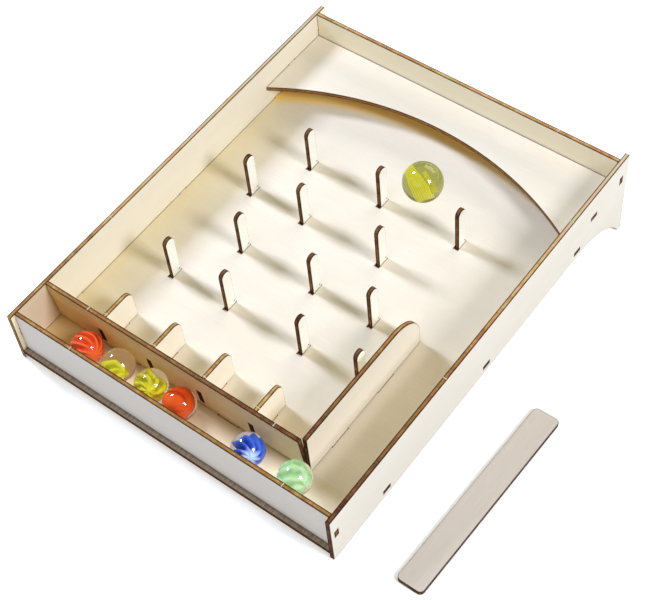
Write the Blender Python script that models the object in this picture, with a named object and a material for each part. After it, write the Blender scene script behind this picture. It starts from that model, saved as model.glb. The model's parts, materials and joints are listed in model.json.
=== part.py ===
"""Table-top marble pachinko board made of laser-cut plywood, with glass marbles.

The board frame has X across, Y up the slope from the side panels' front ends, and Z square to
the playfield, whose top face is Z = 0. The whole board frame is tilted by the rear legs, and the
launch stick lies flat on the table beside it.
"""
import math

import bmesh
import bpy
from mathutils import Vector

MM = 0.001

# Sheet and fit: gap between touching pieces, side clearance of tabs in slots, and the wider
# slots that the leaning trough wall needs
PLY = 2.0 * MM
GAP = 0.2 * MM
FIT = 0.1 * MM
LEAN_GAP = 0.3 * MM

# Outer frame
WIDTH = 160.0 * MM
LENGTH = 206.7 * MM
WALL_TOP = 23.4 * MM
SIDE_BOTTOM = -5.0 * MM
TILT = math.radians(5.4)
TOE_FLAT = 3.0 * MM
LEG_RADIUS = 37.0 * MM
LEG_START_Y = 171.5 * MM

# Cross walls, by the Y of their front faces at the board
FRONT_PANEL_Y = 2.2 * MM
TROUGH_WALL_Y = 22.3 * MM
TROUGH_WALL_LEAN = math.radians(5.0)
BACK_PANEL_Y = 200.7 * MM
PANEL_TAB_Z = (9.9 * MM, 13.9 * MM)

# Board tabs through the side panels
BOARD_TAB_CENTRES_Y = (33.6 * MM, 101.1 * MM, 168.6 * MM)
BOARD_TAB_LENGTH = 4.2 * MM

# Launch lane and scoring pockets
LANE_DIVIDER_X = 51.5 * MM
LANE_DIVIDER_Y = 22.6 * MM
LANE_DIVIDER_LENGTH = 72.3 * MM
LANE_DIVIDER_RADIUS = 16.0 * MM
LANE_TENONS_Y = ((36.0 * MM, 46.0 * MM), (66.0 * MM, 76.0 * MM))
POCKET_DIVIDER_FIRST_X = -52.2 * MM
POCKET_PITCH = 25.8 * MM
POCKET_DIVIDER_COUNT = 4
POCKET_DIVIDER_END_Y = 40.6 * MM
POCKET_DIVIDER_TOP = 16.0 * MM
POCKET_DIVIDER_RADIUS = 4.0 * MM
POCKET_TAB_Z = (2.8 * MM, 11.2 * MM)
POCKET_TAB_TIP_Y = 21.9 * MM
POCKET_TENON_Y = (29.0 * MM, 35.0 * MM)
TROUGH_WALL_TENONS_X = ((-44.0 * MM, -34.0 * MM), (7.0 * MM, 17.0 * MM))

# Pins: upright tabs, one row per slope position, each with spare slot in front of it
PIN_DEPTH = 5.0 * MM
PIN_TOP = 22.7 * MM
PIN_SLOT_SPARE = 1.0 * MM
PIN_ROWS = (
    (65.8 * MM, (-52.2 * MM, -22.5 * MM, 16.0 * MM, 44.6 * MM)),
    (92.2 * MM, (-36.1 * MM, 1.7 * MM, 31.5 * MM)),
    (118.7 * MM, (-52.3 * MM, -24.0 * MM, 16.1 * MM)),
    (144.5 * MM, (-39.5 * MM, -1.9 * MM, 38.1 * MM)),
)

# Arc deflector plate
PLATE_TOP = 10.9 * MM
PLATE_END_Y = 161.8 * MM
PLATE_CREST_Y = 184.2 * MM
PLATE_TAB_Y = (178.4 * MM, 182.6 * MM)

# Marbles: centre X and Y of each one in the trough, left to right
TROUGH_MARBLE_RADIUS = 7.0 * MM
TROUGH_MARBLES = (
    ("trough_marble_1", -53.1 * MM, 13.4 * MM, "glass_red"),
    ("trough_marble_2", -37.1 * MM, 14.2 * MM, "glass_yellow"),
    ("trough_marble_3", -20.0 * MM, 14.5 * MM, "glass_yellow"),
    ("trough_marble_4", -5.2 * MM, 14.3 * MM, "glass_red"),
    ("trough_marble_5", 29.6 * MM, 13.6 * MM, "glass_blue"),
    ("trough_marble_6", 51.8 * MM, 14.2 * MM, "glass_green"),
)
FIELD_MARBLE_RADIUS = 9.0 * MM
FIELD_MARBLE_X = 10.5 * MM
FIELD_MARBLE_Y = 157.0 * MM

# Launch stick, on the table
STICK_WIDTH = 11.6 * MM
STICK_LENGTH = 95.4 * MM
STICK_RADIUS = 2.0 * MM
STICK_X = 108.8 * MM
STICK_FRONT_Y = 7.1 * MM

# Worked out from the values above
INNER_X = WIDTH / 2 - PLY
PANEL_X = INNER_X - FIT
TABLE_SLOPE = math.tan(TILT)

MATERIALS = {
    "basswood": ((0.86, 0.78, 0.62, 1.0), 0.62, 0.0),
    "stick_basswood": ((0.74, 0.66, 0.56, 1.0), 0.65, 0.0),
    "glass_red": ((0.80, 0.10, 0.03, 1.0), 0.05, 0.0),
    "glass_yellow": ((0.80, 0.78, 0.20, 1.0), 0.05, 0.0),
    "glass_blue": ((0.08, 0.20, 0.70, 1.0), 0.05, 0.0),
    "glass_green": ((0.25, 0.75, 0.35, 1.0), 0.05, 0.0),
    "glass_olive": ((0.50, 0.55, 0.12, 1.0), 0.05, 0.0),
}


def make_materials():
    """Return one Principled material for each entry of MATERIALS."""
    made = {}
    for name, (colour, roughness, metallic) in MATERIALS.items():
        material = bpy.data.materials.new(name)
        material.use_nodes = True
        shader = material.node_tree.nodes["Principled BSDF"]
        shader.inputs["Base Color"].default_value = colour
        shader.inputs["Roughness"].default_value = roughness
        shader.inputs["Metallic"].default_value = metallic
        material.diffuse_color = colour
        made[name] = material
    return made


def add_object(name, mesh, parent, material=None, location=(0, 0, 0)):
    """Link a mesh into the scene under its parent."""
    thing = bpy.data.objects.new(name, mesh)
    bpy.context.scene.collection.objects.link(thing)
    thing.parent = parent
    thing.location = location
    if material:
        mesh.materials.append(material)
    return thing


def add_empty(name, location, rotation=(0, 0, 0), parent=None):
    """A reference frame that other objects hang from."""
    empty = bpy.data.objects.new(name, None)
    bpy.context.scene.collection.objects.link(empty)
    empty.parent = parent
    empty.location = location
    empty.rotation_euler = rotation
    return empty


def arc(centre, radius, start, end, steps):
    """Points along an arc between two angles, given in degrees."""
    points = []
    for i in range(steps + 1):
        angle = math.radians(start + (end - start) * i / steps)
        points.append((centre[0] + radius * math.cos(angle), centre[1] + radius * math.sin(angle)))
    return points


def box_outline(u0, u1, v0, v1):
    """A rectangle, counter-clockwise."""
    return [(u0, v0), (u1, v0), (u1, v1), (u0, v1)]


def sheet_point(normal, u, v, depth):
    """Place a point of a sheet outline in the board frame.

    A sheet with normal X is drawn in Y and Z, with normal Y in X and Z, with normal Z in X and Y.
    """
    if normal == "X":
        return Vector((depth, u, v))
    if normal == "Y":
        return Vector((u, depth, v))
    return Vector((u, v, depth))


def add_prism(bm, outline, normal, low, high):
    """Extrude one flat outline between two depths along its sheet's normal."""
    base = [bm.verts.new(sheet_point(normal, u, v, low)) for u, v in outline]
    face = bm.faces.new(base)
    extruded = bmesh.ops.extrude_face_region(bm, geom=[face])
    moved = [item for item in extruded["geom"] if isinstance(item, bmesh.types.BMVert)]
    bmesh.ops.translate(bm, verts=moved, vec=sheet_point(normal, 0, 0, high - low))


def prism_mesh(name, outlines, normal, low, high):
    """A mesh of one or more extruded outlines with outward faces."""
    bm = bmesh.new()
    for outline in outlines:
        add_prism(bm, outline, normal, low, high)
    bmesh.ops.recalc_face_normals(bm, faces=bm.faces)
    mesh = bpy.data.meshes.new(name)
    bm.to_mesh(mesh)
    bm.free()
    return mesh


def cut_slots(sheet, slots, normal):
    """Cut rectangular slots, given as outlines, right through a sheet."""
    mesh = prism_mesh(sheet.name + "_slots", slots, normal, -PLY, 2 * PLY)
    cutter = add_object(sheet.name + "_slots", mesh, sheet)
    cutter.hide_render = True
    cutter.display_type = "WIRE"
    modifier = sheet.modifiers.new("slots", "BOOLEAN")
    modifier.operation = "DIFFERENCE"
    modifier.solver = "EXACT"
    modifier.object = cutter


def add_sheet(name, outline, normal, low, parent, material, slots=()):
    """One plywood piece, an outline one sheet thick from the depth low, with its slots cut out."""
    mesh = prism_mesh(name, [outline], normal, 0, PLY)
    sheet = add_object(name, mesh, parent, material, sheet_point(normal, 0, 0, low))
    if slots:
        cut_slots(sheet, slots, normal)
    return sheet


def slot_around(u0, u1, v0, v1, gap_u=FIT, gap_v=FIT):
    """A slot outline with clearance all round the tab that fills it."""
    return box_outline(u0 - gap_u, u1 + gap_u, v0 - gap_v, v1 + gap_v)


def pocket_divider_positions():
    """Centre X of each pocket divider, from the left."""
    return [POCKET_DIVIDER_FIRST_X + POCKET_PITCH * i for i in range(POCKET_DIVIDER_COUNT)]


def table_height(y):
    """Z of the table surface, in the board frame, below a point at slope position y."""
    return SIDE_BOTTOM - TABLE_SLOPE * (y - TOE_FLAT)


def leg_arc():
    """The curve from the side panel's straight lower edge down to the rear foot."""
    centre = (LEG_START_Y, SIDE_BOTTOM - LEG_RADIUS)
    return [point for point in arc(centre, LEG_RADIUS, 90, 20, 14)
            if point[1] > table_height(point[0])]


def side_panel_outline():
    """Long wall with a flat toe, a straight lower edge and a curved rear leg."""
    curve = leg_arc()
    foot_y = foot_front()
    outline = [(0, table_height(0)), (TOE_FLAT, SIDE_BOTTOM)]
    outline += curve
    outline += [(foot_y, table_height(foot_y)), (LENGTH, table_height(LENGTH))]
    outline += [(LENGTH, WALL_TOP), (0, WALL_TOP)]
    return outline


def foot_front():
    """Slope position where the leg's curve meets the table, found by halving."""
    low, high = LEG_START_Y, LEG_START_Y + LEG_RADIUS
    for _ in range(40):
        middle = (low + high) / 2
        drop = math.sqrt(LEG_RADIUS ** 2 - (middle - LEG_START_Y) ** 2)
        if SIDE_BOTTOM - LEG_RADIUS + drop > table_height(middle):
            low = middle
        else:
            high = middle
    return low


def side_panel_slots():
    """Slots for the tabs of the front panel, back panel, arc plate and board."""
    slots = [slot_around(y, y + PLY, *PANEL_TAB_Z) for y in (FRONT_PANEL_Y, BACK_PANEL_Y)]
    slots.append(slot_around(*PLATE_TAB_Y, PLATE_TOP - PLY, PLATE_TOP))
    half = BOARD_TAB_LENGTH / 2
    slots += [slot_around(y - half, y + half, -PLY, 0) for y in BOARD_TAB_CENTRES_Y]
    return slots


def make_side_panels(parent, material):
    slots = side_panel_slots()
    outline = side_panel_outline()
    add_sheet("left_side_panel", outline, "X", -WIDTH / 2, parent, material, slots)
    add_sheet("right_side_panel", outline, "X", WIDTH / 2 - PLY, parent, material, slots)


def tabbed_edge(edge, tip, tabs):
    """Points down one straight side with square tabs, each given as (start, end)."""
    points = []
    for start, end in tabs:
        points += [(edge, start), (tip, start), (tip, end), (edge, end)]
    return points


def make_board(parent, material):
    """The playfield, tabbed into both side panels and slotted for everything that stands on it."""
    half = BOARD_TAB_LENGTH / 2
    tabs = [(y - half, y + half) for y in BOARD_TAB_CENTRES_Y]
    right = tabbed_edge(PANEL_X, WIDTH / 2, tabs)
    left = [(-x, y) for x, y in reversed(right)]
    outline = [(-PANEL_X, 0), (PANEL_X, 0)] + right + [(PANEL_X, LENGTH), (-PANEL_X, LENGTH)] + left

    slots = []
    for row_y, row in PIN_ROWS:
        front = row_y - PIN_DEPTH / 2 - PIN_SLOT_SPARE
        back = row_y + PIN_DEPTH / 2
        slots += [slot_around(x - PLY / 2, x + PLY / 2, front, back) for x in row]
    for x in pocket_divider_positions():
        slots.append(slot_around(x - PLY / 2, x + PLY / 2, *POCKET_TENON_Y))
    for tenon in LANE_TENONS_Y:
        slots.append(slot_around(LANE_DIVIDER_X - PLY / 2, LANE_DIVIDER_X + PLY / 2, *tenon))
    for tenon in TROUGH_WALL_TENONS_X:
        slots.append(slot_around(*tenon, TROUGH_WALL_Y, TROUGH_WALL_Y + PLY, gap_v=LEAN_GAP))
    add_sheet("playfield_board", outline, "Z", -PLY, parent, material, slots)


def make_end_panels(parent, material):
    """Front and back panels, which stand on the board and tab into the side panels."""
    right = tabbed_edge(PANEL_X, WIDTH / 2, [PANEL_TAB_Z])
    left = [(-x, z) for x, z in reversed(right)]
    outline = [(-PANEL_X, GAP), (PANEL_X, GAP)] + right
    outline += [(PANEL_X, WALL_TOP), (-PANEL_X, WALL_TOP)] + left
    add_sheet("front_panel", outline, "Y", FRONT_PANEL_Y, parent, material)
    add_sheet("back_panel", outline, "Y", BACK_PANEL_Y, parent, material)


def make_trough_wall(parent, material):
    """Wall between the ball trough and the pockets, which leans a little towards the front."""
    end_x = LANE_DIVIDER_X - PLY / 2 - GAP
    outline = [(-PANEL_X, GAP)]
    for start, end in TROUGH_WALL_TENONS_X:
        outline += [(start, GAP), (start, -PLY), (end, -PLY), (end, GAP)]
    outline += [(end_x, GAP), (end_x, WALL_TOP), (-PANEL_X, WALL_TOP)]
    slots = [slot_around(x - PLY / 2, x + PLY / 2, *POCKET_TAB_Z, gap_v=LEAN_GAP)
             for x in pocket_divider_positions()]
    wall = add_sheet("trough_wall", outline, "Y", TROUGH_WALL_Y, parent, material, slots)
    wall.rotation_euler = (TROUGH_WALL_LEAN, 0, 0)


def make_lane_divider(parent, material):
    """Long wall beside the launch lane, with a rounded far top corner."""
    start = LANE_DIVIDER_Y
    end = LANE_DIVIDER_Y + LANE_DIVIDER_LENGTH
    outline = [(start, GAP)]
    for tenon_start, tenon_end in LANE_TENONS_Y:
        outline += [(tenon_start, GAP), (tenon_start, -PLY), (tenon_end, -PLY), (tenon_end, GAP)]
    outline.append((end, GAP))
    centre = (end - LANE_DIVIDER_RADIUS, WALL_TOP - LANE_DIVIDER_RADIUS)
    outline += arc(centre, LANE_DIVIDER_RADIUS, 0, 90, 12)
    outline.append((start, WALL_TOP))
    add_sheet("lane_divider", outline, "X", LANE_DIVIDER_X - PLY / 2, parent, material)


def make_pocket_dividers(parent, material):
    """Short walls between the scoring pockets, numbered from the left."""
    start = TROUGH_WALL_Y + PLY + GAP
    tenon_start, tenon_end = POCKET_TENON_Y
    tab_bottom, tab_top = POCKET_TAB_Z
    outline = [(start, GAP), (tenon_start, GAP), (tenon_start, -PLY), (tenon_end, -PLY)]
    outline += [(tenon_end, GAP), (POCKET_DIVIDER_END_Y, GAP)]
    centre = (POCKET_DIVIDER_END_Y - POCKET_DIVIDER_RADIUS, POCKET_DIVIDER_TOP - POCKET_DIVIDER_RADIUS)
    outline += arc(centre, POCKET_DIVIDER_RADIUS, 0, 90, 8)
    outline += [(start, POCKET_DIVIDER_TOP), (start, tab_top), (POCKET_TAB_TIP_Y, tab_top)]
    outline += [(POCKET_TAB_TIP_Y, tab_bottom), (start, tab_bottom)]
    for number, x in enumerate(pocket_divider_positions(), 1):
        add_sheet(f"pocket_divider_{number}", outline, "X", x - PLY / 2, parent, material)


def make_pins(parent, material):
    """Upright tabs with round tops, pushed through the board until flush with its underside."""
    radius = PIN_DEPTH / 2
    outline = [(-radius, -PLY), (radius, -PLY)]
    outline += arc((0, PIN_TOP - radius), radius, 0, 180, 12)
    places = [(x, row_y) for row_y, row in PIN_ROWS for x in row]
    for number, (x, y) in enumerate(places, 1):
        pin = add_sheet(f"pin_{number:02d}", outline, "X", x - PLY / 2, parent, material)
        pin.location.y = y


def make_arc_plate(parent, material):
    """Raised plate at the top of the playfield, whose lower edge is one circular arc."""
    sagitta = PLATE_CREST_Y - PLATE_END_Y
    radius = (INNER_X ** 2 + sagitta ** 2) / (2 * sagitta)
    half_angle = math.degrees(math.asin(PANEL_X / radius))
    back = BACK_PANEL_Y - GAP
    right = tabbed_edge(PANEL_X, WIDTH / 2, [PLATE_TAB_Y])
    left = [(-x, y) for x, y in reversed(right)]
    outline = arc((0, PLATE_CREST_Y - radius), radius, 90 + half_angle, 90 - half_angle, 36)
    outline += right + [(PANEL_X, back), (-PANEL_X, back)] + left
    add_sheet("arc_plate", outline, "Z", PLATE_TOP - PLY, parent, material)


def make_marble(name, radius, centre, parent, material):
    """A glass ball with its origin at its centre."""
    bm = bmesh.new()
    bmesh.ops.create_uvsphere(bm, u_segments=24, v_segments=14, radius=radius)
    mesh = bpy.data.meshes.new(name)
    bm.to_mesh(mesh)
    bm.free()
    mesh.shade_smooth()
    add_object(name, mesh, parent, material, centre)


def make_marbles(parent, materials):
    for name, x, y, colour in TROUGH_MARBLES:
        centre = (x, y, TROUGH_MARBLE_RADIUS + GAP)
        make_marble(name, TROUGH_MARBLE_RADIUS, centre, parent, materials[colour])
    centre = (FIELD_MARBLE_X, FIELD_MARBLE_Y, FIELD_MARBLE_RADIUS + GAP)
    make_marble("field_marble", FIELD_MARBLE_RADIUS, centre, parent, materials["glass_olive"])


def make_launch_stick(parent, material):
    """Loose flat strip with rounded corners, whose origin is the middle of its front end."""
    half = STICK_WIDTH / 2
    inset = half - STICK_RADIUS
    outline = []
    for x, y, start in ((inset, STICK_RADIUS, 270), (inset, STICK_LENGTH - STICK_RADIUS, 0),
                        (-inset, STICK_LENGTH - STICK_RADIUS, 90), (-inset, STICK_RADIUS, 180)):
        outline += arc((x, y), STICK_RADIUS, start, start + 90, 5)
    stick = add_sheet("launch_stick", outline, "Z", 0, parent, material)
    stick.location = (STICK_X, STICK_FRONT_Y, 0)


def make_frames():
    """Table frame centred under everything, and the tilted board frame that stands on it."""
    front_y = -WALL_TOP * math.sin(TILT)
    rear_y = LENGTH * math.cos(TILT) - table_height(LENGTH) * math.sin(TILT)
    centre_x = (STICK_X + STICK_WIDTH / 2 - WIDTH / 2) / 2
    table = add_empty("table_frame", (-centre_x, -(front_y + rear_y) / 2, 0))
    rise = -SIDE_BOTTOM * math.cos(TILT) - TOE_FLAT * math.sin(TILT)
    board = add_empty("board_frame", (0, 0, rise), (TILT, 0, 0), table)
    return table, board


def main():
    for thing in list(bpy.data.objects):
        bpy.data.objects.remove(thing, do_unlink=True)
    materials = make_materials()
    wood = materials["basswood"]
    table, board = make_frames()
    make_board(board, wood)
    make_side_panels(board, wood)
    make_end_panels(board, wood)
    make_trough_wall(board, wood)
    make_lane_divider(board, wood)
    make_pocket_dividers(board, wood)
    make_pins(board, wood)
    make_arc_plate(board, wood)
    make_marbles(board, materials)
    make_launch_stick(table, materials["stick_basswood"])


main()
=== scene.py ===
"""Looks of the table-top marble pachinko board: laser-cut basswood plywood and swirled glass marbles.

Each sheet keeps its packed outline and gets eased arrises, singed rims and the snapped-off stubs
that held it in its cutting sheet. Each marble is a glass shell around its own coloured core.
"""
import json
import math
import random

import bmesh
import bpy
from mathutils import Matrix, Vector
from mathutils.geometry import tessellate_polygon

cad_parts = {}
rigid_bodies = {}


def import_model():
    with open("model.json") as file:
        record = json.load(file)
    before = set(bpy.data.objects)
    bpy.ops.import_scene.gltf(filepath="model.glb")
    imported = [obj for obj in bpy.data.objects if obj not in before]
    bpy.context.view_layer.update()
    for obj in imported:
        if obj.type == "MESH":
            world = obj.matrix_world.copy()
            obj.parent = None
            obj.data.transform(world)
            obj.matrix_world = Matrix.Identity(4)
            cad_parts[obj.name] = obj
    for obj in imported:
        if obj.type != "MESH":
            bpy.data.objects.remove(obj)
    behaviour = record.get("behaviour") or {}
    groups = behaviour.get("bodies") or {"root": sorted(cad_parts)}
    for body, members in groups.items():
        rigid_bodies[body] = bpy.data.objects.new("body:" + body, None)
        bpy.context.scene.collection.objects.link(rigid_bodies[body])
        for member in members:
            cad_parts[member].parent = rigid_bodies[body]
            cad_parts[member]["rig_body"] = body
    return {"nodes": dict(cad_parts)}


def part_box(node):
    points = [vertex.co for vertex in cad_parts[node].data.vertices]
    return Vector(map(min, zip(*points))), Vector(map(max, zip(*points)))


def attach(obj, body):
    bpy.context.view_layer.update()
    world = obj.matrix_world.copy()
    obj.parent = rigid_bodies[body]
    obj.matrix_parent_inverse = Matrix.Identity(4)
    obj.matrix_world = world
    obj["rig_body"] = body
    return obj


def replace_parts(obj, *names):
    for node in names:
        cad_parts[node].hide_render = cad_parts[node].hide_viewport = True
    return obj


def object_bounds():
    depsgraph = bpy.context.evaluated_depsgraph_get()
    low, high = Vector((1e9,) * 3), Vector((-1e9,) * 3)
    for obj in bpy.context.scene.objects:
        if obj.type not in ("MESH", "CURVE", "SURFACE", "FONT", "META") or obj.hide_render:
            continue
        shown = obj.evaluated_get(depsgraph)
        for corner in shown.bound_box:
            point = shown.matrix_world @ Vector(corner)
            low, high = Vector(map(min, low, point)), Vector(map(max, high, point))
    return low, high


MM = 0.001

# Laser-cut sheets: the eased arris and where its middle lies, the two singed bands beside it, how
# singed the wood is between the bands, and how singed the pins and pocket dividers are
ARRIS = 0.10 * MM
ARRIS_MIDDLE = 0.29
SINGE_WIDTHS = (0.12 * MM, 0.30 * MM)
SINGE_STEP = 0.35
PALE_SINGE = 0.2

# Tolerances for reading a sheet's outline, and the sharpest turn that still counts as a round stretch
CURVE_ANGLE = math.radians(20)
STRAIGHT_ANGLE = math.radians(0.5)
FLAT_COSINE = 0.9995
MERGE = 0.01 * MM

# The board's slope, and the thickness of its ply
TILT = math.radians(5.4)
PLY = 2.0 * MM

# Places in millimetres up the slope: the sheets' front ends, the back of the ledge and of the trough,
# and where the dividers' front parts end
FRONT_END = 0.5
LEDGE_BACK = 2.25
TROUGH_BACK = 22.45
DIVIDER_FRONT = 23.0

# Places in millimetres across from the middle: the trough wall's right end, the middle of the side
# panels' ply, and just inside the left one's outer face
TROUGH_WALL_END = 50.0
SIDE_MIDDLE = 79.0
LEFT_OUTSIDE = -79.5

# Heights in millimetres above the playfield between which a face with painted shade is the board's own
BOARD_EDGE = -1.0
BOARD_TOP = 0.5

# Burn level of each sheet's cut edges: 0 or less is light tan, 1 is dark brown
EDGE_BURN = {
    "playfield_board": 0.60,
    "left_side_panel": -0.16,
    "right_side_panel": -0.16,
    "front_panel": 0.52,
    "back_panel": 0.34,
    "trough_wall": 0.42,
    "lane_divider": 0.48,
    "arc_plate": 0.60,
    "launch_stick": 0.90,
}
SIDE_END_BURN = {"left_side_panel": 0.55, "right_side_panel": 0.95}
DIVIDER_BURN = 0.42
PIN_BURN = 0.85
JOINT_BURN = 0.90
TAB_BURN = 0.8625
# Darkest burn, for the board's front edge and tabs and the pocket dividers' front parts: char with painted
# shade of the recesses and the gap under the board
CHAR_AND_SHADE_BURN = 1.15

# How strongly each sheet takes the painted warm shade in the trough and the painted shadow along the left
# wall
PAINTED_SHADE_STRENGTH = {
    "playfield_board": 0.76,
    "trough_wall": 0.95,
    "left_side_panel": 0.35,
}

# Snapped holding stubs on the top edges: sheet, whether it runs along X or Y, and places along it
STUBS = (
    ("left_side_panel", "Y", (61.0, 173.0)),
    ("right_side_panel", "Y", (74.0, 163.8)),
    ("back_panel", "X", (-61.6, 48.7)),
    ("front_panel", "X", (-48.8, 56.4)),
    ("trough_wall", "X", (-55.4, 38.3)),
    ("pocket_divider_1", "Y", (26.3,)),
    ("pocket_divider_2", "Y", (25.8,)),
    ("pocket_divider_3", "Y", (25.9,)),
    ("pocket_divider_4", "Y", (26.8,)),
)
STUB_HALF_RUN = 0.27 * MM
STUB_REACH = 1.72 * MM
STUB_RISE = 0.10 * MM
STUB_ROOT = 0.12 * MM

# The pierce mark on each pin: its size, and its place from the pin's far edge and above the playfield
PIERCE_RADIUS = 0.36 * MM
PIERCE_HEIGHT = 0.05 * MM
PIERCE_INSET = 0.8
PIERCE_LEVEL = 1.7

# How near the marble's surface its coloured glass comes, in marble radii
MARBLE_SKIN = 0.965

# Camera: place in metres, turn in degrees, lens and sensor in millimetres
CAMERA_LOCATION = (0.24204, -0.333258, 0.504298)
CAMERA_ANGLES = (39.5854, 0.6674, 37.1255)
CAMERA_LENS = 85.13
SENSOR_WIDTH = 36.0

# The floor's glow, the dim light from all round, and the backdrop that the camera sees
FLOOR_GLOW = 0.32
FILL_LIGHT = (0.143, 0.205, 0.160, 1.0)
BACKDROP = (0.95, 0.95, 0.96, 1.0)

# Softboxes: name, azimuth, elevation, distance, size, power, colour
SOFTBOXES = (
    ("left_softbox", 184, 41, 0.9, (0.16, 0.22), 7.5, (0.60, 0.69, 1.0)),
    ("right_softbox", -6, 41, 0.9, (0.22, 0.30), 6.6, (0.74, 0.79, 1.0)),
    ("top_softbox", -60, 82, 1.2, (0.9, 0.9), 0.7, (1.0, 0.5, 0.1)),
    ("front_softbox", -95, 25, 1.2, (1.0, 0.5), 2.1, (0.80, 0.72, 1.0)),
    ("back_softbox", 90, 35, 1.2, (1.0, 0.5), 5.1, (1.0, 0.90, 0.86)),
)

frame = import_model()
cad_box = [list(corner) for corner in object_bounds()]


# ---------------------------------------------------------------- board frame

UP_SLOPE = Vector((0, math.cos(TILT), math.sin(TILT)))
OFF_BOARD = Vector((0, -math.sin(TILT), math.cos(TILT)))


def board_origin():
    """Front edge of the playfield's top face, halfway across."""
    low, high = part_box("playfield_board")
    return Vector(((low.x + high.x) / 2, low.y, low.z + PLY * math.cos(TILT)))


ORIGIN = board_origin()


def board_place(point):
    """A point as millimetres across, up the slope and above the playfield."""
    offset = point - ORIGIN
    return Vector((offset.x, offset.dot(UP_SLOPE), offset.dot(OFF_BOARD))) / MM


def world_place(across, up_slope, height):
    """The point at some millimetres across, up the slope and above the playfield."""
    return ORIGIN + (Vector((across, 0, 0)) + UP_SLOPE * up_slope + OFF_BOARD * height) * MM


# ---------------------------------------------------------------- materials

def rgb(red, green, blue):
    return (red, green, blue, 1.0)


class Shader:
    """Builds the node tree of one material."""

    def __init__(self, name, **sockets):
        self.material = bpy.data.materials.new(name)
        self.material.use_nodes = True
        self.tree = self.material.node_tree
        self.surface = self.tree.nodes["Principled BSDF"]
        for socket, value in sockets.items():
            self.set(socket.replace("_", " "), value)

    def set(self, socket, value):
        """Set or link one socket of the Principled shader."""
        self.fill(self.surface.inputs[socket], value)

    def fill(self, socket, value):
        if isinstance(value, bpy.types.NodeSocket):
            self.tree.links.new(value, socket)
        else:
            socket.default_value = value

    def add(self, kind, inputs=(), **settings):
        """Add a node, given its inputs in order and its settings by name."""
        node = self.tree.nodes.new("ShaderNode" + kind)
        for key, value in settings.items():
            setattr(node, key, value)
        for socket, value in zip(node.inputs, inputs):
            if value is not None:
                self.fill(socket, value)
        return node

    def attribute(self, name, output="Fac"):
        return self.add("Attribute", attribute_name=name).outputs[output]

    def math(self, operation, *values, clamp=False):
        return self.add("Math", values, operation=operation, use_clamp=clamp).outputs[0]

    def scaled(self, vector, scale):
        return self.add("VectorMath", (vector, scale), operation="MULTIPLY").outputs[0]

    def noise(self, vector, detail=3.0, roughness=0.5, distortion=0.0):
        """Noise of unit size over the vector."""
        node = self.add("TexNoise")
        for socket, value in (("Vector", vector), ("Scale", 1.0), ("Detail", detail),
                              ("Roughness", roughness), ("Distortion", distortion)):
            self.fill(node.inputs[socket], value)
        return node.outputs["Fac"]

    def ramp(self, factor, *stops):
        """Colour or grey ramp, with stops of (position, colour or grey)."""
        node = self.add("ValToRGB", (factor,))
        elements = node.color_ramp.elements
        while len(elements) < len(stops):
            elements.new(0.5)
        for element, (position, colour) in zip(elements, stops):
            element.position = position
            element.color = colour if isinstance(colour, tuple) else (colour, colour, colour, 1)
        return node.outputs["Color"]

    def mix(self, factor, first, second, blend="MIX"):
        node = self.add("Mix", data_type="RGBA", blend_type=blend)
        for socket, value in ((0, factor), (6, first), (7, second)):
            self.fill(node.inputs[socket], value)
        return node.outputs[2]

    def bump(self, height, strength, distance):
        node = self.add("Bump")
        for socket, value in (("Strength", strength), ("Distance", distance), ("Height", height)):
            self.fill(node.inputs[socket], value)
        self.set("Normal", node.outputs["Normal"])


def plate_edge(shader, across):
    """Slope position of the arc plate's lower edge, which is one circular arc."""
    places = [board_place(vert.co) for vert in frame["nodes"]["arc_plate"].data.vertices]
    end = min(place.y for place in places)
    half = max(place.x for place in places if place.y < end + 0.5)
    crest = max(place.y for place in places if abs(place.x) < 4)
    radius = (half ** 2 + (crest - end) ** 2) / (2 * (crest - end))
    run = shader.math("SUBTRACT", radius ** 2, shader.math("MULTIPLY", across, across))
    return shader.math("ADD", shader.math("SQRT", run), crest - radius)


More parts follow.
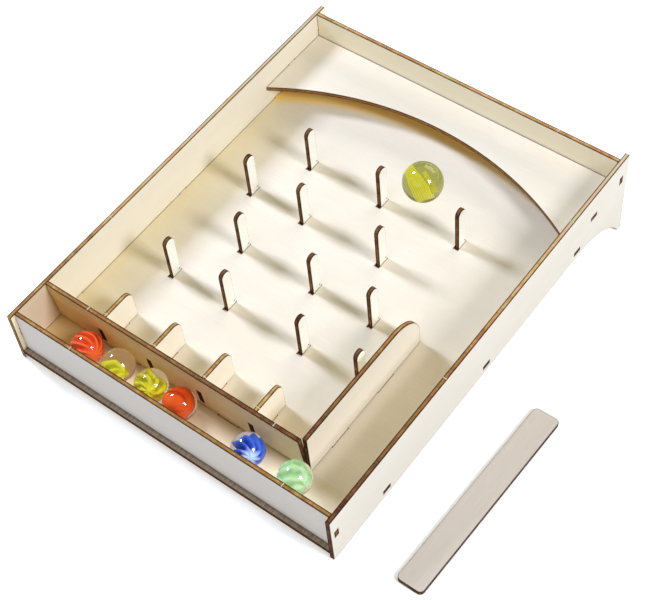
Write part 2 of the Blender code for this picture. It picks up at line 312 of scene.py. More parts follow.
def with_painted_shade(shader, sheet_place, colour):
    """The wood's colour with painted shade: warm amber shade in the trough, a yellow painted shadow along
    the left wall, an orange painted shadow under the arc plate, painted shade on the left panel's outside,
    and a darkened, hatched front ledge.
    """
    board = shader.attribute("place", "Vector")
    across, up_slope, height = shader.add("SeparateXYZ", (board,)).outputs
    on_show = shader.math("MULTIPLY", shader.math("GREATER_THAN", height, BOARD_EDGE),
                          shader.math("LESS_THAN", shader.math("ABSOLUTE", across), SIDE_MIDDLE))
    low = shader.math("MULTIPLY", on_show, shader.math("LESS_THAN", height, BOARD_TOP))
    blotch = shader.noise(shader.scaled(sheet_place, (1 / 22, 1 / 9, 0)), 4, 0.6)
    blotches = shader.ramp(blotch, (0.35, 0.0), (0.65, 1.0))
    # How much of the painted shade in the trough and along the left wall this sheet takes
    share = shader.attribute("painted_shade_share")

    def tinted(amount, tint):
        return shader.mix(amount, colour, shader.mix(1.0, colour, tint, "MULTIPLY"))

    # Painted warm shade in the trough, deeper towards its left end
    trough_shade = shader.math("MULTIPLY", on_show, shader.math("LESS_THAN", up_slope, TROUGH_BACK))
    fade = shader.math("MULTIPLY_ADD", across, -0.0045, 0.52, clamp=True)
    trough_shade = shader.math("MULTIPLY", shader.math("MULTIPLY", trough_shade, fade), share)
    colour = tinted(trough_shade, shader.mix(blotches, rgb(1.0, 0.69, 0.15), rgb(1.0, 0.76, 0.36)))

    # Painted yellow shadow of the left wall on the playfield behind the trough
    wall_shadow = shader.math("MULTIPLY", low, shader.math("MULTIPLY_ADD", across, -0.017, -0.93, clamp=True))
    wall_shadow = shader.math("MULTIPLY", wall_shadow, shader.math("GREATER_THAN", up_slope, TROUGH_BACK))
    colour = tinted(shader.math("MULTIPLY", wall_shadow, share),
                    shader.mix(blotches, rgb(0.99, 0.76, 0.15), rgb(0.90, 0.87, 0.22)))

    # Painted orange shadow under the arc plate, fading towards the right
    plate_shadow = shader.math("SUBTRACT", up_slope, plate_edge(shader, across))
    plate_shadow = shader.math("MULTIPLY_ADD", plate_shadow, 0.25, -0.05, clamp=True)
    towards_left = shader.math("MULTIPLY_ADD", across, -0.022, 1.25, clamp=True)
    plate_shadow = shader.math("MULTIPLY", plate_shadow, shader.math("MULTIPLY", low, towards_left))
    colour = tinted(plate_shadow, rgb(1.15, 0.88, 0.36))

    # Darkened band with hatching across it on the ledge in front of the front panel
    hatch = shader.noise(shader.scaled(board, (1 / 0.5, 1 / 6, 0)), 2, 0.6)
    dark_hatch = shader.ramp(hatch, (0.38, rgb(0.34, 0.245, 0.165)), (0.62, rgb(0.58, 0.44, 0.325)))
    ledge = shader.math("MULTIPLY", low, shader.math("LESS_THAN", up_slope, LEDGE_BACK))
    colour = shader.mix(ledge, colour, dark_hatch)
    # Painted shade: the left panel's outer face is darkened against the direct light on it
    return tinted(shader.math("LESS_THAN", across, LEFT_OUTSIDE), rgb(0.66, 0.60, 0.52))


def veneer_material(name, pale, deep):
    """Bare face veneer: soft clouds, long fibres and short pores along the grain, with painted shade, and
    singed.
    """
    shader = Shader(name, Roughness=0.6)
    shader.set("Specular IOR Level", 0.30)
    place = shader.attribute("sheet", "Vector")
    cloud = shader.noise(shader.scaled(place, (1 / 55, 1 / 16, 0)), 4, 0.55)
    fibre = shader.noise(shader.scaled(place, (1 / 14, 1 / 0.45, 0)), 4, 0.6)
    pore = shader.noise(shader.scaled(place, (1 / 2.2, 1 / 0.14, 0)), 1, 0.5)
    pores = shader.ramp(pore, (0.66, 0.0), (0.78, 1.0))
    tone = shader.mix(0.55, cloud, fibre)
    colour = shader.mix(shader.ramp(tone, (0.30, 1.0), (0.70, 0.0)), pale, deep)
    colour = shader.mix(shader.math("MULTIPLY", pores, 0.16), colour, rgb(0.42, 0.26, 0.12))
    colour = with_painted_shade(shader, place, colour)
    patch = shader.noise(shader.scaled(place, (0.6, 0.6, 0)), 3, 0.6)
    ragged = shader.math("MULTIPLY", shader.attribute("rim"),
                         shader.ramp(patch, (0.30, 0.70), (0.65, 1.15)))
    singe = shader.ramp(ragged, (0.02, 0.0), (0.45, 0.30), (0.75, 1.0))
    colour = shader.mix(shader.math("MULTIPLY", singe, 0.92), colour, rgb(0.13, 0.052, 0.018))
    shader.set("Base Color", colour)
    grain = shader.math("MULTIPLY", fibre, 0.6)
    grain = shader.math("SUBTRACT", grain, shader.math("MULTIPLY", pores, 0.4))
    shader.bump(grain, 0.35, 0.05 * MM)
    return shader.material


def edge_material(name):
    """Laser-cut edge: plies and glue lines across it, fine striations along it, charred arrises."""
    shader = Shader(name, Roughness=0.8)
    shader.set("Specular IOR Level", 0.12)
    place = shader.attribute("sheet", "Vector")
    depth = shader.add("SeparateXYZ", (place,)).outputs["Z"]
    blotch = shader.noise(shader.scaled(place, (1 / 4.0, 1 / 4.0, 0.7)), 4, 0.6)
    stria = shader.noise(shader.scaled(place, (1 / 0.22, 1 / 0.22, 0.4)), 2, 0.6)
    level = shader.math("ADD", shader.attribute("burn"), shader.math("MULTIPLY_ADD", blotch, 0.9, -0.45))
    level = shader.math("ADD", level, shader.math("MULTIPLY_ADD", stria, 0.5, -0.25), clamp=True)
    colour = shader.ramp(level, (0.0, rgb(0.64, 0.50, 0.35)), (0.24, rgb(0.66, 0.39, 0.145)),
                         (0.5, rgb(0.35, 0.155, 0.040)), (1.0, rgb(0.070, 0.018, 0.009)))
    tint = shader.noise(shader.scaled(place, (1 / 9.0, 1 / 9.0, 0)), 2, 0.5)
    warmth = shader.ramp(tint, (0.42, rgb(1.0, 0.84, 0.72)), (0.58, rgb(0.92, 1.02, 0.80)))
    colour = shader.mix(1.0, colour, warmth, "MULTIPLY")
    core = shader.ramp(depth, (0.30, 0.0), (0.34, 1.0), (0.66, 1.0), (0.70, 0.0))
    core = shader.math("MULTIPLY", core, shader.math("MULTIPLY_ADD", level, -0.24, 0.26))
    colour = shader.mix(core, colour, rgb(0.62, 0.35, 0.12))
    side = shader.math("ABSOLUTE", shader.math("MULTIPLY_ADD", depth, 2.0, -1.0))
    frayed = shader.math("ADD", side, shader.math("MULTIPLY_ADD", stria, 0.24, -0.12))
    arris = shader.ramp(frayed, (0.44, 0.0), (0.64, 1.0))
    colour = shader.mix(shader.math("MULTIPLY", arris, 0.90), colour, rgb(0.035, 0.013, 0.007))
    shader.set("Base Color", colour)
    shader.bump(stria, 0.6, 0.06 * MM)
    return shader.material


def snapped_material():
    """Pale torn fibres where a holding stub was snapped off."""
    shader = Shader("snapped_wood", Roughness=0.75)
    place = shader.add("TexCoord").outputs["Object"]
    torn = shader.noise(shader.scaled(place, (2200, 2200, 600)), 3, 0.6)
    colour = shader.ramp(torn, (0.3, rgb(0.50, 0.34, 0.18)), (0.6, rgb(0.86, 0.72, 0.52)))
    shader.set("Base Color", colour)
    shader.bump(torn, 0.8, 0.1 * MM)
    return shader.material


def char_material():
    """Sooty, nearly black wood of a spot where the laser dwelt."""
    shader = Shader("laser_char", Roughness=0.85)
    place = shader.add("TexCoord").outputs["Object"]
    soot = shader.noise(shader.scaled(place, (5000, 5000, 5000)), 3, 0.6)
    colour = shader.ramp(soot, (0.35, rgb(0.012, 0.007, 0.005)), (0.7, rgb(0.10, 0.05, 0.025)))
    shader.set("Base Color", colour)
    shader.bump(soot, 0.7, 0.05 * MM)
    return shader.material


# The veneer of each sheet, from its pale and deep tones; the others have the board's own. The paler copies
# for the left panel, the dividers and the back panel are painted light, and the darker copies for the
# front and right panels are painted shade
VENEER = veneer_material("basswood_veneer", rgb(0.87, 0.775, 0.60), rgb(0.80, 0.68, 0.48))
WALL_VENEER_PAINTED_LIGHT = veneer_material("basswood_veneer_painted_light", rgb(0.93, 0.845, 0.66), rgb(0.88, 0.765, 0.55))
DARKER_VENEER_PAINTED_SHADE = veneer_material("basswood_veneer_painted_shade", rgb(0.75, 0.675, 0.55), rgb(0.69, 0.60, 0.455))
BACK_VENEER_PAINTED_LIGHT = veneer_material("basswood_veneer_back_painted_light", rgb(0.98, 0.89, 0.68), rgb(0.94, 0.83, 0.57))
FRONT_VENEER_PAINTED_SHADE = veneer_material("basswood_veneer_front_painted_shade", rgb(0.68, 0.61, 0.52), rgb(0.62, 0.55, 0.44))
PIN_VENEER = veneer_material("basswood_veneer_pin", rgb(0.97, 0.94, 0.80), rgb(0.94, 0.89, 0.70))
STICK_VENEER = veneer_material("stick_veneer", rgb(0.72, 0.63, 0.52), rgb(0.62, 0.53, 0.42))
VENEERS = {
    "left_side_panel": WALL_VENEER_PAINTED_LIGHT,
    "right_side_panel": DARKER_VENEER_PAINTED_SHADE,
    "front_panel": FRONT_VENEER_PAINTED_SHADE,
    "back_panel": BACK_VENEER_PAINTED_LIGHT,
    "lane_divider": WALL_VENEER_PAINTED_LIGHT,
    "pocket_divider": WALL_VENEER_PAINTED_LIGHT,
    "pin": PIN_VENEER,
    "launch_stick": STICK_VENEER,
}
EDGE = edge_material("laser_cut_edge")
SNAPPED = snapped_material()
CHAR = char_material()


# ---------------------------------------------------------------- plywood sheets

def packed_outline(cad):
    """A packed sheet's directions (grain, across, normal) and its outlines seen along the normal.

    Each outline is a list of (u, v) points with the wood on its left: one outside, and one for
    each slot.
    """
    bm = bmesh.new()
    bm.from_mesh(cad.data)
    bmesh.ops.remove_doubles(bm, verts=bm.verts, dist=MERGE)
    bm.normal_update()
    normal = max(bm.faces, key=lambda face: face.calc_area()).normal.copy()
    top = [face for face in bm.faces if face.normal.dot(normal) > FLAT_COSINE]
    flat = set(top)
    following = {}
    for face in top:
        for loop in face.loops:
            if any(other not in flat for other in loop.edge.link_faces):
                following[loop.vert] = loop.link_loop_next.vert
    outlines = []
    while following:
        vert = next(iter(following))
        outline = []
        while vert in following:
            outline.append(vert.co.copy())
            vert = following.pop(vert)
        outlines.append(straightened(outline))
    bm.free()
    edges = [b - a for outline in outlines for a, b in zip(outline, outline[1:] + outline[:1])]
    grain = max(edges, key=lambda edge: edge.length).normalized()
    across = normal.cross(grain).normalized()
    laid_flat = [[Vector((point.dot(grain), point.dot(across))) for point in outline]
                 for outline in outlines]
    return (grain, across, normal), laid_flat


def straightened(outline):
    """The outline without the points that lie along a straight run."""
    kept = []
    for before, point, after in zip(outline[-1:] + outline[:-1], outline, outline[1:] + outline[:1]):
        if (point - before).angle(after - point) > STRAIGHT_ANGLE:
            kept.append(point)
    return kept


def inset(outline, width):
    """Move every side of an outline towards the wood on its left."""
    moved = []
    for before, point, after in zip(outline[-1:] + outline[:-1], outline, outline[1:] + outline[:1]):
        a = (point - before).normalized()
        b = (after - point).normalized()
        left = Vector((-a.y - b.y, a.x + b.x))
        moved.append(point + left * (width / (1 + a.dot(b))))
    return moved


def sheet_profile(thickness):
    """Rings of a sheet from the underside to the top: inset, height, and how close to the cut (rim)."""
    outer = ARRIS + SINGE_WIDTHS[0]
    middle = ARRIS * ARRIS_MIDDLE
    half = [(outer + SINGE_WIDTHS[1], 0.0, 0.0), (outer, 0.0, SINGE_STEP), (ARRIS, 0.0, 1.0),
            (middle, middle, 1.0), (0.0, ARRIS, 1.0)]
    return half + [(width, thickness - height, rim) for width, height, rim in reversed(half)]


def cap_faces(bm, rings, axis, side):
    """Fill the innermost ring of every outline, holes left open."""
    flat = [[Vector((vert[axis].x, vert[axis].y, 0)) for vert in ring] for ring in rings]
    verts = [vert for ring in rings for vert in ring]
    points = [point for ring in flat for point in ring]
    made = []
    for a, b, c in tessellate_polygon(flat):
        turn = (points[b] - points[a]).cross(points[c] - points[a]).z
        order = (a, b, c) if turn * side > 0 else (a, c, b)
        made.append(bm.faces.new([verts[i] for i in order]))
    edges = dict.fromkeys(edge for face in made for edge in face.edges)
    inner = [edge for edge in edges if all(other in made for other in edge.link_faces)]
    bmesh.ops.beautify_fill(bm, faces=made, edges=inner)


def sheet_mesh(name, cad, seed, burn, painted_shade_share, singe):
    """A sheet with eased, singed arrises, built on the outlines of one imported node.

    Every point keeps its place in the sheet (grain and cross-grain in millimetres, depth from 0 to 1)
    and its place on the board; burn gives the burn level of an edge from its place on the board.
    """
    (grain, across, normal), outlines = packed_outline(cad)
    depths = [Vector(vert.co).dot(normal) for vert in cad.data.vertices]
    low, thickness = min(depths), max(depths) - min(depths)
    source = random.Random(seed)
    shift_u, shift_v = source.uniform(0, 900), source.uniform(0, 900)
    bm = bmesh.new()
    sheet = bm.verts.layers.float_vector.new("sheet")
    place = bm.verts.layers.float_vector.new("place")
    layers = {key: bm.verts.layers.float.new(key) for key in ("rim", "burn", "painted_shade_share")}
    profile = sheet_profile(thickness)
    caps = ([], [])
    for outline in outlines:
        rings = []
        for width, height, rim in profile:
            ring = []
            for u, v in inset(outline, width):
                vert = bm.verts.new(grain * u + across * v + normal * (low + height))
                vert[sheet] = Vector((u / MM + shift_u, v / MM + shift_v, height / thickness))
                vert[layers["rim"]] = rim * singe
                vert[place] = board_place(vert.co)
                vert[layers["burn"]] = burn(vert[place])
                vert[layers["painted_shade_share"]] = painted_shade_share
                ring.append(vert)
            rings.append(ring)
        for number, (lower, upper) in enumerate(zip(rings, rings[1:])):
            flat_side = profile[number][1] == profile[number + 1][1]
            for k in range(len(lower)):
                m = (k + 1) % len(lower)
                face = bm.faces.new((lower[k], lower[m], upper[m], upper[k]))
                face.material_index = 0 if flat_side else 1
        caps[0].append(rings[0])
        caps[1].append(rings[-1])
    cap_faces(bm, caps[0], sheet, -1)
    cap_faces(bm, caps[1], sheet, 1)
    for face in bm.faces:
        face.smooth = True
    mesh = bpy.data.meshes.new(name)
    bm.to_mesh(mesh)
    bm.free()
    mesh.set_sharp_from_angle(angle=CURVE_ANGLE)
    return mesh


def edge_burn(node):
    """Burn level of a sheet's edge by place: its ends in other sheets' slots are charred; the board's
    front edge and tabs and the pocket dividers' front parts are darkest, char with painted shade.
    """
    usual = EDGE_BURN.get(node, PIN_BURN if node.startswith("pin") else DIVIDER_BURN)

    def level(place):
        across, up_slope, _ = place
        if node == "playfield_board" and up_slope < FRONT_END:
            return CHAR_AND_SHADE_BURN
        if "side_panel" in node and up_slope < FRONT_END:
            return SIDE_END_BURN[node]
        if node.startswith("pocket_divider") and up_slope < DIVIDER_FRONT:
            return CHAR_AND_SHADE_BURN
        if node == "lane_divider" and up_slope < DIVIDER_FRONT:
            return JOINT_BURN
        if node == "trough_wall" and across > TROUGH_WALL_END:
            return JOINT_BURN
        if "side_panel" not in node and node != "launch_stick" and abs(across) > SIDE_MIDDLE:
            return CHAR_AND_SHADE_BURN if node == "playfield_board" else TAB_BURN
        return usual

    return level


def place_piece(name, mesh, node, slot, *materials):
    """Put a finished mesh in the scene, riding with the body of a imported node."""
    piece = bpy.data.objects.new(name, mesh)
    for material in materials:
        mesh.materials.append(material)
    bpy.context.scene.collection.objects.link(piece)
    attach(piece, frame["nodes"][node]["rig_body"])
    return piece


def make_sheets():
    sheets = [node for node in sorted(frame["nodes"]) if "marble" not in node]
    for seed, node in enumerate(sheets, 1):
        name = node + "_ply"
        singe = PALE_SINGE if node.startswith(("pin", "pocket")) else 1.0
        mesh = sheet_mesh(name, frame["nodes"][node], seed, edge_burn(node), PAINTED_SHADE_STRENGTH.get(node, 0.0), singe)
        veneer = VENEERS.get(node.rstrip("_0123456789"), VENEER)
        slot = "stick_basswood" if node == "launch_stick" else "basswood"
        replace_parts(place_piece(name, mesh, node, slot, veneer, EDGE), node)


def stub_mesh(name, centre, along, side, up, seed):
    """The torn stub that held a piece in its cutting sheet: a jagged rib across the ply's edge."""
    source = random.Random(seed)
    columns, rows = 6, 9
    bm = bmesh.new()
    grid = []
    for i in range(columns + 1):
        run = (i / columns - 0.5) * 2
        line = []
        for j in range(rows + 1):
            reach = (j / rows - 0.5) * STUB_REACH
            height = 0.02 * MM + STUB_RISE * (1 - run ** 2) * source.uniform(0.45, 1.0)
            jitter = source.uniform(-0.03, 0.03) * MM if abs(run) < 0.9 else 0.0
            spread = along * (run * STUB_HALF_RUN + jitter)
            line.append(bm.verts.new(centre + spread + side * reach + up * height))
        grid.append(line)
    for i in range(columns):
        for j in range(rows):
            face = bm.faces.new((grid[i][j], grid[i + 1][j], grid[i + 1][j + 1], grid[i][j + 1]))
            face.material_index = 0 if 1 <= i < columns - 1 else 1
    skirt = grid[0] + [line[-1] for line in grid[1:]]
    skirt += grid[-1][-2::-1] + [line[0] for line in grid[-2:0:-1]]
    below = [bm.verts.new(vert.co - up * STUB_ROOT) for vert in skirt]
    for k in range(len(skirt)):
        m = (k + 1) % len(skirt)
        bm.faces.new((skirt[k], skirt[m], below[m], below[k])).material_index = 1
    bm.faces.new(below).material_index = 1
    bmesh.ops.recalc_face_normals(bm, faces=bm.faces)
    mesh = bpy.data.meshes.new(name)
    bm.to_mesh(mesh)
    bm.free()
    return mesh


def make_stubs():
    """Snapped stubs, one piece for each, on the middle of a sheet's top edge."""
    directions = {"X": Vector((1, 0, 0)), "Y": UP_SLOPE}
    for node, run, places in STUBS:
        along = directions[run]
        side = directions["Y" if run == "X" else "X"]
        places_on_board = [board_place(vert.co) for vert in frame["nodes"][node].data.vertices]
        top = max(place.z for place in places_on_board)
        rim = [place for place in places_on_board if place.z > top - 0.5]
        middle = [(min(values) + max(values)) / 2 for values in zip(*rim)]
        for number, offset in enumerate(places, 1):
            spot = (offset, middle[1]) if run == "X" else (middle[0], offset)
            centre = world_place(*spot, top)
            name = f"{node}_stub_{number}"
            mesh = stub_mesh(name, centre, along, side, OFF_BOARD, len(name) + number)
            place_piece(name, mesh, node, "basswood", SNAPPED, CHAR)


def pip_mesh(name, centre, normal, radius, height):
    """A low charred blister, closed underneath."""
    turn = normal.to_track_quat("Z", "Y").to_matrix()
    around = 14
    bm = bmesh.new()
    levels = ((1.0, -0.6), (1.0, 0.1), (0.72, 0.75), (0.35, 1.0))
    rings = []
    for share, rise in levels:
        ring = []
        for k in range(around):
            angle = 2 * math.pi * k / around
            out = radius * share
            point = Vector((out * math.cos(angle), out * math.sin(angle), height * rise))
            ring.append(bm.verts.new(centre + turn @ point))
        rings.append(ring)
    for lower, upper in zip(rings, rings[1:]):
        for k in range(around):
            m = (k + 1) % around
            bm.faces.new((lower[k], lower[m], upper[m], upper[k]))
    bm.faces.new(rings[-1])
    bm.faces.new(list(reversed(rings[0])))
    mesh = bpy.data.meshes.new(name)
    bm.to_mesh(mesh)
    bm.free()
    mesh.shade_smooth()
    mesh.set_sharp_from_angle(angle=math.radians(60))
    return mesh


def make_pierce_marks():
    """The small charred spot low on each pin's right face, near its far edge, where the laser began."""
    for node, cad in sorted(frame["nodes"].items()):
        if not node.startswith("pin_"):
            continue
        places = [board_place(vert.co) for vert in cad.data.vertices]
        right = max(place.x for place in places)
        far = max(place.y for place in places)
        name = node + "_pierce_mark"
        centre = world_place(right, far - PIERCE_INSET, PIERCE_LEVEL)
        mesh = pip_mesh(name, centre, Vector((1, 0, 0)), PIERCE_RADIUS, PIERCE_HEIGHT)
        place_piece(name, mesh, node, "basswood", CHAR)


# ---------------------------------------------------------------- marbles

# Each marble's glass tint and coloured core. Colours: deep in the valleys, light on the crests, and
# heart at the pole. Lengths are in marble radii. A core's lobes twist round its axis: size is how far
# they reach, depth and sharp how deep and narrow the valleys between them are, and lump how uneven
# they are. A clear core lets light through, and a solid one casts a shadow. The field marble holds a
# ribbon instead, with a small flap beside it, whose looks differ from the ribbon's as given.
MARBLES = {
    "trough_marble_1": dict(
        slot="glass_red", glass=rgb(1.0, 0.86, 0.80), deep=rgb(0.66, 0.034, 0.003),
        light=rgb(1.0, 0.17, 0.040), axis=(0.917, -0.300, 0.252), size=0.94, lobes=11, depth=0.14,
        sharp=2.2, twist=0.16, lump=0.012, solid=True),
    "trough_marble_2": dict(
        slot="glass_yellow", glass=rgb(0.94, 0.95, 0.88), deep=rgb(0.40, 0.35, 0.008),
        light=rgb(0.74, 0.68, 0.025), axis=(0.75, 0.15, 0.30), size=0.58, lobes=5, depth=0.30,
        sharp=1.2, twist=0.30, lump=0.05, stretch=1.15, shift=(0.0, -0.36, -0.20)),
    "trough_marble_3": dict(
        slot="glass_yellow", glass=rgb(0.94, 0.95, 0.88), deep=rgb(0.40, 0.34, 0.008),
        light=rgb(0.78, 0.70, 0.025), axis=(0.45, -0.50, 0.55), size=0.68, lobes=7, depth=0.32,
        sharp=1.3, twist=0.22, lump=0.09, shift=(-0.04, -0.16, -0.08)),
    "trough_marble_4": dict(
        slot="glass_red", glass=rgb(0.98, 0.95, 0.90), deep=rgb(0.52, 0.024, 0.002),
        light=rgb(0.85, 0.095, 0.008), axis=(0.973, -0.042, 0.201), size=0.80, lobes=3, depth=0.26,
        sharp=0.45, twist=0.10, lump=0.02, stretch=1.05, shift=(-0.16, -0.15, 0.0), solid=True),
    "trough_marble_5": dict(
        slot="glass_blue", glass=rgb(0.93, 0.94, 1.0), deep=rgb(0.003, 0.025, 0.32),
        light=rgb(0.05, 0.16, 0.66), heart=rgb(0.62, 0.74, 0.88), axis=(0.602, -0.547, 0.572),
        size=0.72, lobes=9, depth=0.50, sharp=1.3, twist=0.20, lump=0.04, shift=(0.10, -0.06, -0.14)),
    "trough_marble_6": dict(
        slot="glass_green", glass=rgb(0.93, 0.99, 0.92), deep=rgb(0.33, 0.60, 0.25),
        light=rgb(0.66, 0.86, 0.50), axis=(0.70, 0.05, 0.05), size=0.78, lobes=5, depth=0.30,
        sharp=0.9, twist=0.30, lump=0.04, shift=(-0.14, -0.14, -0.02), clear=0.65),
    "field_marble": dict(
        slot="glass_olive", glass=rgb(0.40, 0.42, 0.11), deep=rgb(0.82, 0.66, 0.015),
        light=rgb(1.0, 0.90, 0.12), axis=(0.803, -0.233, -0.554), facing=(0.385, -0.508, 0.770),
        shift=(-0.17, -0.15, -0.02), length=0.68, width=0.33, thickness=0.040, twist=0.05, lobes=26,
        flap=dict(deep=rgb(0.55, 0.47, 0.01), light=rgb(0.92, 0.84, 0.16),
                  shift=(0.145, 0.16, -0.055), length=0.36, width=0.11, twist=0.10)),
}


def glass_material(name, tint):
    """Clear or tinted glass with a faintly wavy, handled surface."""
    shader = Shader(name, Roughness=0.02, IOR=1.5)
    shader.set("Transmission Weight", 1.0)
    shader.set("Base Color", tint)
    wave = shader.noise(shader.scaled(shader.add("TexCoord").outputs["Object"], (150, 150, 150)), 2, 0.5)
    shader.bump(wave, 0.10, 0.15 * MM)
    return shader.material


def colour_glass_material(name, deep, light, heart, clear):
    """Coloured glass: deep in its valleys, lighter and streaked on its crests, and another at its pole."""
    shader = Shader(name, Roughness=0.35)
    shader.set("Specular IOR Level", 0.08)
    shader.set("Transmission Weight", clear)
    crest = shader.attribute("crest")
    pole = shader.attribute("pole")
    streaks = shader.noise(shader.attribute("streak", "Vector"), 3, 0.6)
    level = shader.math("ADD", crest, shader.math("MULTIPLY_ADD", streaks, 1.3, -0.65), clamp=True)
    colour = shader.ramp(level, (0.05, deep), (0.85, light))
    by_pole = shader.ramp(pole, (0.80, 0.0), (0.98, 1.0))
    shader.set("Base Color", shader.mix(by_pole, colour, heart))
    shader.bump(streaks, 0.25, 0.1 * MM)
    return shader.material


def sphere_mesh(name, radius, centre):
    bm = bmesh.new()
    bmesh.ops.create_uvsphere(bm, u_segments=96, v_segments=64, radius=radius)
    bmesh.ops.translate(bm, verts=bm.verts, vec=centre)
    mesh = bpy.data.meshes.new(name)
    bm.to_mesh(mesh)
    bm.free()
    mesh.shade_smooth()
    return mesh


class Tube:
    """A closed mesh built from rings of equal length, with both ends brought to a point."""

    def __init__(self):
        self.bm = bmesh.new()
        self.crest = self.bm.verts.layers.float.new("crest")
        self.pole = self.bm.verts.layers.float.new("pole")
        self.streak = self.bm.verts.layers.float_vector.new("streak")

    def vert(self, place, crest, pole, streak):
        made = self.bm.verts.new(place)
        made[self.crest], made[self.pole], made[self.streak] = crest, pole, Vector(streak)
        return made

    def skin(self, first, rings, last):
        """Faces from the first point along all rings to the last point."""
        for k in range(len(rings[0])):
            m = (k + 1) % len(rings[0])
            self.bm.faces.new((first, rings[0][k], rings[0][m]))
            for lower, upper in zip(rings, rings[1:]):
                self.bm.faces.new((lower[k], upper[k], upper[m], lower[m]))
            self.bm.faces.new((rings[-1][k], last, rings[-1][m]))

    def mesh(self, name):
        bmesh.ops.recalc_face_normals(self.bm, faces=self.bm.faces)
        made = bpy.data.meshes.new(name)
        self.bm.to_mesh(made)
        self.bm.free()
        made.shade_smooth()
        return made


def lobed_core(name, centre, radius, look, seed):
    """Twisted lobes of coloured glass around an axis, pressed flat where they meet the marble's skin."""
    source = random.Random(seed)
    waves = [source.uniform(0, 2 * math.pi) for _ in range(3)]
    turn = Vector(look["axis"]).to_track_quat("Z", "Y").to_matrix()
    shift = Vector(look.get("shift", (0, 0, 0)))
    lobes, twist = look["lobes"], look["twist"]
    stretch = look.get("stretch", 1.0)
    tube = Tube()

    def point(theta, phi):
        swirl = phi + twist * math.pi * math.cos(theta)
        ridge = (0.5 + 0.5 * math.cos(lobes * swirl)) ** look["sharp"]
        rough = math.sin(2 * phi + 4 * theta + waves[0]) + math.sin(3 * phi - 5 * theta + waves[1])
        rough += math.sin(5 * phi + 7 * theta + waves[2]) * 0.5
        valley = look["depth"] * (1 - ridge)
        out = look["size"] * (1 + (look["lump"] * rough - valley) * math.sin(theta))
        place = Vector((math.sin(theta) * math.cos(phi), math.sin(theta) * math.sin(phi),
                        math.cos(theta) * stretch)) * out
        place = turn @ place + shift
        if place.length > MARBLE_SKIN:
            place *= MARBLE_SKIN / place.length
        streak = (math.cos(swirl) * 5, math.sin(swirl) * 5, theta * 0.8)
        return tube.vert(centre + place * radius, ridge, (1 + math.cos(theta)) / 2, streak)

    steps, around = 56, 120
    rings = [[point(math.pi * i / steps, 2 * math.pi * k / around) for k in range(around)]
             for i in range(1, steps)]
    tube.skin(point(0, 0), rings, point(math.pi, 0))
    return tube.mesh(name)


def ribbon_core(name, centre, radius, look, seed):
    """One broad twisted ribbon of coloured glass with fine ridges along it."""
    wave = random.Random(seed).uniform(0, 2 * math.pi)
    axis = Vector(look["axis"]).normalized()
    facing = Vector(look["facing"])
    facing = (facing - axis * facing.dot(axis)).normalized()
    breadth = axis.cross(facing)
    shift = Vector(look["shift"])
    tube = Tube()

    def middle(t):
        return shift + axis * (t * look["length"]) + facing * 0.10 * math.cos(2.2 * t)

    def point(t, angle):
        width = look["width"] * (0.80 + 0.20 * math.sin(1.7 * t)) * (1 + 0.04 * math.sin(9 * t + wave))
        across = math.cos(angle)
        ridges = 0.5 + 0.5 * math.cos(look["lobes"] * across)
        thick = look["thickness"] * math.sin(angle) * (0.65 + 0.35 * ridges) * math.sqrt(1 - 0.9 * t * t)
        turn = look["twist"] * math.pi * t
        flat = breadth * math.cos(turn) + facing * math.sin(turn)
        rise = facing * math.cos(turn) - breadth * math.sin(turn)
        curl = 0.22 * width * across * across
        place = middle(t) + flat * width * across + rise * (thick - curl)
        if place.length > MARBLE_SKIN:
            place *= MARBLE_SKIN / place.length
        streak = (across * 11, t * 0.9, 0)
        return tube.vert(centre + place * radius, ridges, 0.0, streak)

    steps, around = 48, 72
    rings = [[point(2 * i / steps - 1, 2 * math.pi * k / around) for k in range(around)]
             for i in range(steps + 1)]
    ends = [tube.vert(centre + middle(t) * radius, 0.5, 0.0, (0, t, 0)) for t in (-1, 1)]
    tube.skin(ends[0], rings, ends[1])
    return tube.mesh(name)


def make_core(node, name, centre, radius, look, seed):
    """One coloured core of a marble, lobed or a ribbon."""
    build = ribbon_core if "facing" in look else lobed_core
    mesh = build(name, centre, radius, look, seed)
    heart = look.get("heart", look["light"])
    colour = colour_glass_material(name + "_colour", look["deep"], look["light"], heart,
                                   look.get("clear", 0.0))
    core = place_piece(name, mesh, node, look["slot"], colour)
    core.visible_shadow = look.get("solid", False)


def make_marbles():
    """Each marble's coloured core, or cores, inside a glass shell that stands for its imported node."""
    for seed, (node, look) in enumerate(MARBLES.items(), 1):
        low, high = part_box(node)
        centre = (low + high) / 2
        radius = (high.z - low.z) / 2
        cores = {"_swirl": look}
        if "flap" in look:
            cores["_flap"] = {**look, **look["flap"]}
        for part, core_look in cores.items():
            make_core(node, node + part, centre, radius, core_look, seed)
        shell = sphere_mesh(node + "_glass", radius, centre)
        clear = glass_material(node + "_clear", look["glass"])
        glass = place_piece(node + "_glass", shell, node, look["slot"], clear)
        glass.visible_shadow = False
        glass.visible_diffuse = False
        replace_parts(glass, node)


# ---------------------------------------------------------------- studio

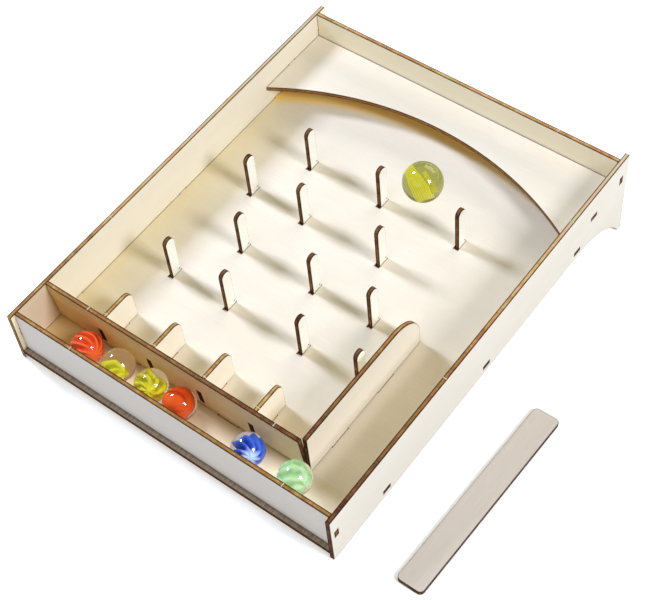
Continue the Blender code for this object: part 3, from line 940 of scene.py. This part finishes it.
def make_floor():
    """A wide white floor that glows a little, just under the object."""
    bm = bmesh.new()
    bmesh.ops.create_grid(bm, x_segments=1, y_segments=1, size=3.0)
    mesh = bpy.data.meshes.new("floor")
    bm.to_mesh(mesh)
    bm.free()
    shader = Shader("floor_white", Roughness=0.9)
    shader.set("Base Color", rgb(0.90, 0.90, 0.90))
    shader.set("Specular IOR Level", 0.1)
    shader.set("Emission Color", rgb(1.0, 1.0, 1.0))
    shader.set("Emission Strength", FLOOR_GLOW)
    mesh.materials.append(shader.material)
    floor = bpy.data.objects.new("floor", mesh)
    bpy.context.scene.collection.objects.link(floor)
    floor.location.z = cad_box[0][2] - 0.05 * MM


def add_softbox(name, azimuth, elevation, distance, size, power, colour):
    """A rectangular area light aimed at the object; azimuth 0 is +X and 90 is +Y."""
    data = bpy.data.lights.new(name, "AREA")
    data.shape = "RECTANGLE"
    data.size, data.size_y = size
    data.energy = power
    data.color = colour
    light = bpy.data.objects.new(name, data)
    bpy.context.scene.collection.objects.link(light)
    a, e = math.radians(azimuth), math.radians(elevation)
    place = Vector((math.cos(e) * math.cos(a), math.cos(e) * math.sin(a), math.sin(e))) * distance
    light.location = place
    light.rotation_euler = (-place).to_track_quat("-Z", "Y").to_euler()


def make_world():
    """Dim fill light from all round, behind a pale backdrop that only the camera sees."""
    world = bpy.data.worlds.new("studio")
    bpy.context.scene.world = world
    world.use_nodes = True
    nodes, links = world.node_tree.nodes, world.node_tree.links
    fill_light = nodes["Background"]
    fill_light.inputs["Color"].default_value = FILL_LIGHT
    backdrop = nodes.new("ShaderNodeBackground")
    backdrop.inputs["Color"].default_value = BACKDROP
    choice = nodes.new("ShaderNodeMixShader")
    links.new(nodes.new("ShaderNodeLightPath").outputs["Is Camera Ray"], choice.inputs["Fac"])
    links.new(fill_light.outputs["Background"], choice.inputs[1])
    links.new(backdrop.outputs["Background"], choice.inputs[2])
    links.new(choice.outputs["Shader"], nodes["World Output"].inputs["Surface"])


def make_camera():
    data = bpy.data.cameras.new("camera")
    data.lens = CAMERA_LENS
    data.sensor_width = SENSOR_WIDTH
    camera = bpy.data.objects.new("camera", data)
    camera.location = CAMERA_LOCATION
    camera.rotation_euler = [math.radians(angle) for angle in CAMERA_ANGLES]
    bpy.context.scene.collection.objects.link(camera)
    bpy.context.scene.camera = camera


make_sheets()
make_stubs()
make_pierce_marks()
make_marbles()
make_floor()
make_world()
for softbox in SOFTBOXES:
    add_softbox(*softbox)
make_camera()
bpy.context.scene.view_settings.view_transform = "Standard"
